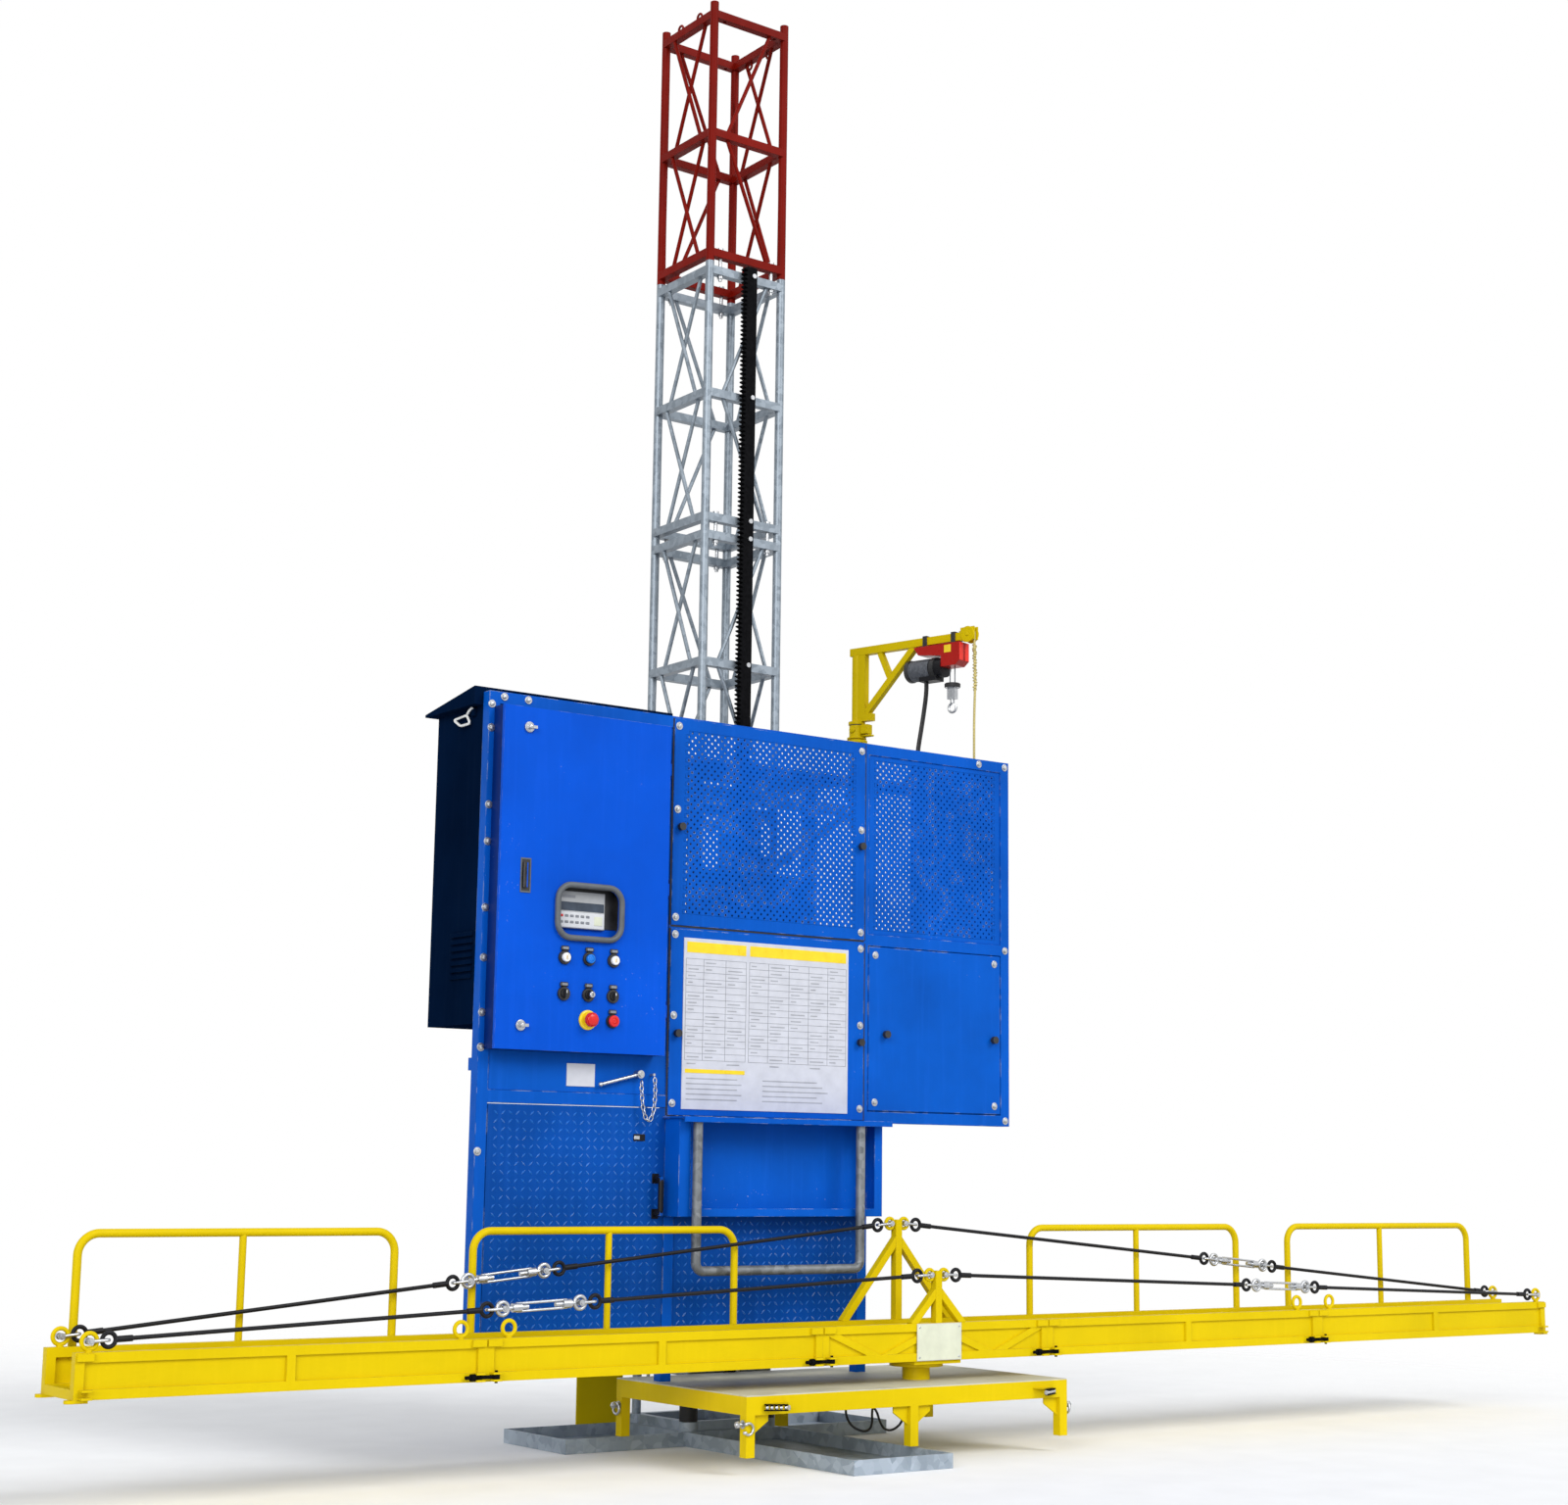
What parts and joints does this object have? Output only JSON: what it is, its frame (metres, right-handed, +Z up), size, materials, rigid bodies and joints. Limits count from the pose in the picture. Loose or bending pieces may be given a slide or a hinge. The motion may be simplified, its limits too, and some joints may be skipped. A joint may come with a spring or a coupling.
{
  "type": "material hoist",
  "caption": "Rack-driven material hoist: lattice mast on a ground base, climbing machine house with doors and controls, low deck, stayed trough beam with guard rails and a small jib hoist.",
  "frame": {"origin": "on the ground in the middle of the mast", "axes": "+Z up along the mast, +X along the beam to the right seen from the front, -Y towards the front where the house and beam stand"},
  "size_m": [9.3618, 2.11, 7.8806],
  "materials": {
    "blue_paint": "semi-gloss cobalt blue enamel",
    "navy_paint": "semi-gloss dark blue enamel",
    "machine_blue": "satin machine enamel",
    "yellow_paint": "semi-gloss yellow enamel",
    "dark_red_paint": "satin dark red enamel",
    "red_paint": "gloss red enamel",
    "grey_paint": "satin grey enamel",
    "charcoal_paint": "satin charcoal enamel",
    "galvanised": "dull hot-dip galvanised",
    "bright_steel": "bright zinc plated",
    "dark_steel": "oiled dark steel",
    "deck_steel": "matt grey-beige patterned plate",
    "white_plate": "satin white",
    "black_rubber": "matt black rubber",
    "pale_rope": "laid pale yellow rope",
    "grey_plastic": "matt grey plastic",
    "white_plastic": "gloss white plastic",
    "blue_plastic": "gloss blue plastic",
    "red_plastic": "gloss red plastic",
    "black_plastic": "matt black plastic"
  },
  "bodies": {
    "mast": {"base_outriggers": "galvanised", "base_foot": "galvanised", "foot_collars": "black_rubber", "cable_guard": "yellow_paint", "mast_sections": "galvanised", "mast_top": "dark_red_paint", "rack": "dark_steel", "mast_bolts": "bright_steel"},
    "carriage": {"carriage_frame": "grey_paint", "drive_unit": "machine_blue", "house_frame": "blue_paint", "side_box": "navy_paint", "control_box": "blue_paint", "control_gear": "grey_plastic", "house_panels": "blue_paint", "notice_plates": "white_plate", "tray_box": "blue_paint", "step_bar": "galvanised", "house_bolts": "bright_steel", "deck_frame": "yellow_paint", "deck_plate": "deck_steel", "deck_fittings": "bright_steel", "deck_cable": "black_rubber", "beam_middle": "yellow_paint", "beam_arms": "yellow_paint", "guard_rails": "yellow_paint", "king_posts": "yellow_paint", "stay_rods": "charcoal_paint", "stay_links": "bright_steel", "joint_bolts": "dark_steel", "cover_knobs": "black_plastic"},
    "drive_pinion": {"drive_pinion": "dark_steel"},
    "roller_left": {"roller_left": "dark_steel"},
    "roller_right": {"roller_right": "dark_steel"},
    "roller_back": {"roller_back": "dark_steel"},
    "jib": {"jib_arm": "yellow_paint", "hoist_body": "red_paint", "hoist_motor": "charcoal_paint", "hoist_rope": "bright_steel", "tag_rope": "pale_rope", "hoist_cable": "black_rubber"},
    "hook": {"hook_block": "bright_steel"},
    "tip_pulley": {"tip_pulley": "yellow_paint"},
    "control_door": {"control_door": "blue_paint"},
    "lock_1": {"lock_1": "bright_steel"},
    "lock_2": {"lock_2": "bright_steel"},
    "tread_door": {"tread_door": "blue_paint"},
    "stop_button": {"stop_button": "red_plastic"},
    "button_1": {"button_1": "white_plastic"},
    "button_2": {"button_2": "blue_plastic"},
    "button_3": {"button_3": "white_plastic"},
    "button_4": {"button_4": "red_plastic"},
    "selector_1": {"selector_1": "black_plastic"},
    "selector_2": {"selector_2": "black_plastic"},
    "selector_3": {"selector_3": "black_plastic"},
    "brake_lever": {"brake_lever": "bright_steel"},
    "turnbuckle_1": {"turnbuckle_1": "bright_steel"},
    "turnbuckle_2": {"turnbuckle_2": "bright_steel"},
    "turnbuckle_3": {"turnbuckle_3": "bright_steel"},
    "turnbuckle_4": {"turnbuckle_4": "bright_steel"}
  },
  "joints": [
    {"name": "carriage_travel", "type": "slide", "parent": "mast", "child": "carriage", "axis": [0, 0, 1], "range_m": [0, 3.4]},
    {"name": "pinion_turn", "type": "hinge", "parent": "carriage", "child": "drive_pinion", "pos_m": [-0.1, -0.288, 2.6408], "axis": [0, 1, 0], "continuous": true},
    {"name": "roller_left_turn", "type": "hinge", "parent": "carriage", "child": "roller_left", "pos_m": [-0.244, -0.3083, 1.87], "axis": [1, 0, 0], "continuous": true},
    {"name": "roller_right_turn", "type": "hinge", "parent": "carriage", "child": "roller_right", "pos_m": [0.244, -0.3083, 1.87], "axis": [1, 0, 0], "continuous": true},
    {"name": "roller_back_turn", "type": "hinge", "parent": "carriage", "child": "roller_back", "pos_m": [0, 0.3083, 3.46], "axis": [1, 0, 0], "continuous": true},
    {"name": "jib_slew", "type": "hinge", "parent": "carriage", "child": "jib", "pos_m": [1.24, 0.3, 3.983], "axis": [0, 0, 1], "range_deg": [-45, 75]},
    {"name": "hook_lower", "type": "slide", "parent": "jib", "child": "hook", "axis": [0, 0, -1], "range_m": [0, 1.3], "deforming": ["hoist_rope"]},
    {"name": "tip_pulley_turn", "type": "hinge", "parent": "jib", "child": "tip_pulley", "pos_m": [1.44144, -0.48455, 4.427], "axis": [0.9686, 0.2487, 0], "continuous": true},
    {"name": "control_door_swing", "type": "hinge", "parent": "carriage", "child": "control_door", "pos_m": [-0.7587, -0.73, 2.77], "axis": [0, 0, 1], "range_deg": [0, 105]},
    {"name": "tread_door_swing", "type": "hinge", "parent": "carriage", "child": "tread_door", "pos_m": [-1.69, -0.608, 1.125], "axis": [0, 0, 1], "range_deg": [0, 85]},
    {"name": "stop_press", "type": "slide", "parent": "control_door", "child": "stop_button", "axis": [0, 1, 0], "range_m": [0, 0.008], "stiffness_N_per_m": 2500, "springref_m": -0.006},
    {"name": "button_1_press", "type": "slide", "parent": "control_door", "child": "button_1", "axis": [0, 1, 0], "range_m": [0, 0.004], "stiffness_N_per_m": 1200, "springref_m": -0.003},
    {"name": "button_2_press", "type": "slide", "parent": "control_door", "child": "button_2", "axis": [0, 1, 0], "range_m": [0, 0.004], "stiffness_N_per_m": 1200, "springref_m": -0.003},
    {"name": "button_3_press", "type": "slide", "parent": "control_door", "child": "button_3", "axis": [0, 1, 0], "range_m": [0, 0.004], "stiffness_N_per_m": 1200, "springref_m": -0.003},
    {"name": "button_4_press", "type": "slide", "parent": "control_door", "child": "button_4", "axis": [0, 1, 0], "range_m": [0, 0.004], "stiffness_N_per_m": 1200, "springref_m": -0.003},
    {"name": "lock_1_turn", "type": "hinge", "parent": "control_door", "child": "lock_1", "pos_m": [-1.596, -0.74, 3.497], "axis": [0, 1, 0], "range_deg": [0, 90]},
    {"name": "lock_2_turn", "type": "hinge", "parent": "control_door", "child": "lock_2", "pos_m": [-1.596, -0.74, 2.055], "axis": [0, 1, 0], "range_deg": [0, 90]},
    {"name": "selector_1_turn", "type": "hinge", "parent": "control_door", "child": "selector_1", "pos_m": [-1.361, -0.75, 2.217], "axis": [0, 1, 0], "range_deg": [-45, 45]},
    {"name": "selector_2_turn", "type": "hinge", "parent": "control_door", "child": "selector_2", "pos_m": [-1.222, -0.75, 2.217], "axis": [0, 1, 0], "range_deg": [-45, 45]},
    {"name": "selector_3_turn", "type": "hinge", "parent": "control_door", "child": "selector_3", "pos_m": [-1.081, -0.75, 2.217], "axis": [0, 1, 0], "range_deg": [-45, 45]},
    {"name": "brake_lever_pull", "type": "hinge", "parent": "carriage", "child": "brake_lever", "pos_m": [-0.86, -0.66, 1.848], "axis": [0, 1, 0], "range_deg": [-30, 20]},
    {"name": "turnbuckle_1_turn", "type": "hinge", "parent": "carriage", "child": "turnbuckle_1", "pos_m": [-1.74312, -0.94, 0.89824], "axis": [-0.9949, 0, -0.1006], "range_deg": [-180, 180]},
    {"name": "turnbuckle_2_turn", "type": "hinge", "parent": "carriage", "child": "turnbuckle_2", "pos_m": [-1.74312, -1.26, 0.78064], "axis": [-0.999, 0, -0.0445], "range_deg": [-180, 180]},
    {"name": "turnbuckle_3_turn", "type": "hinge", "parent": "carriage", "child": "turnbuckle_3", "pos_m": [3.07568, -0.94, 0.89824], "axis": [0.9958, 0, -0.0916], "range_deg": [-180, 180]},
    {"name": "turnbuckle_4_turn", "type": "hinge", "parent": "carriage", "child": "turnbuckle_4", "pos_m": [3.07568, -1.26, 0.78064], "axis": [0.9992, 0, -0.0405], "range_deg": [-180, 180]}
  ],
  "couplings": [
    {"joint": "pinion_turn", "follows": "carriage_travel", "rad_per_m": 16.667},
    {"joint": "roller_left_turn", "follows": "carriage_travel", "rad_per_m": -25},
    {"joint": "roller_right_turn", "follows": "carriage_travel", "rad_per_m": -25},
    {"joint": "roller_back_turn", "follows": "carriage_travel", "rad_per_m": 25}
  ]
}
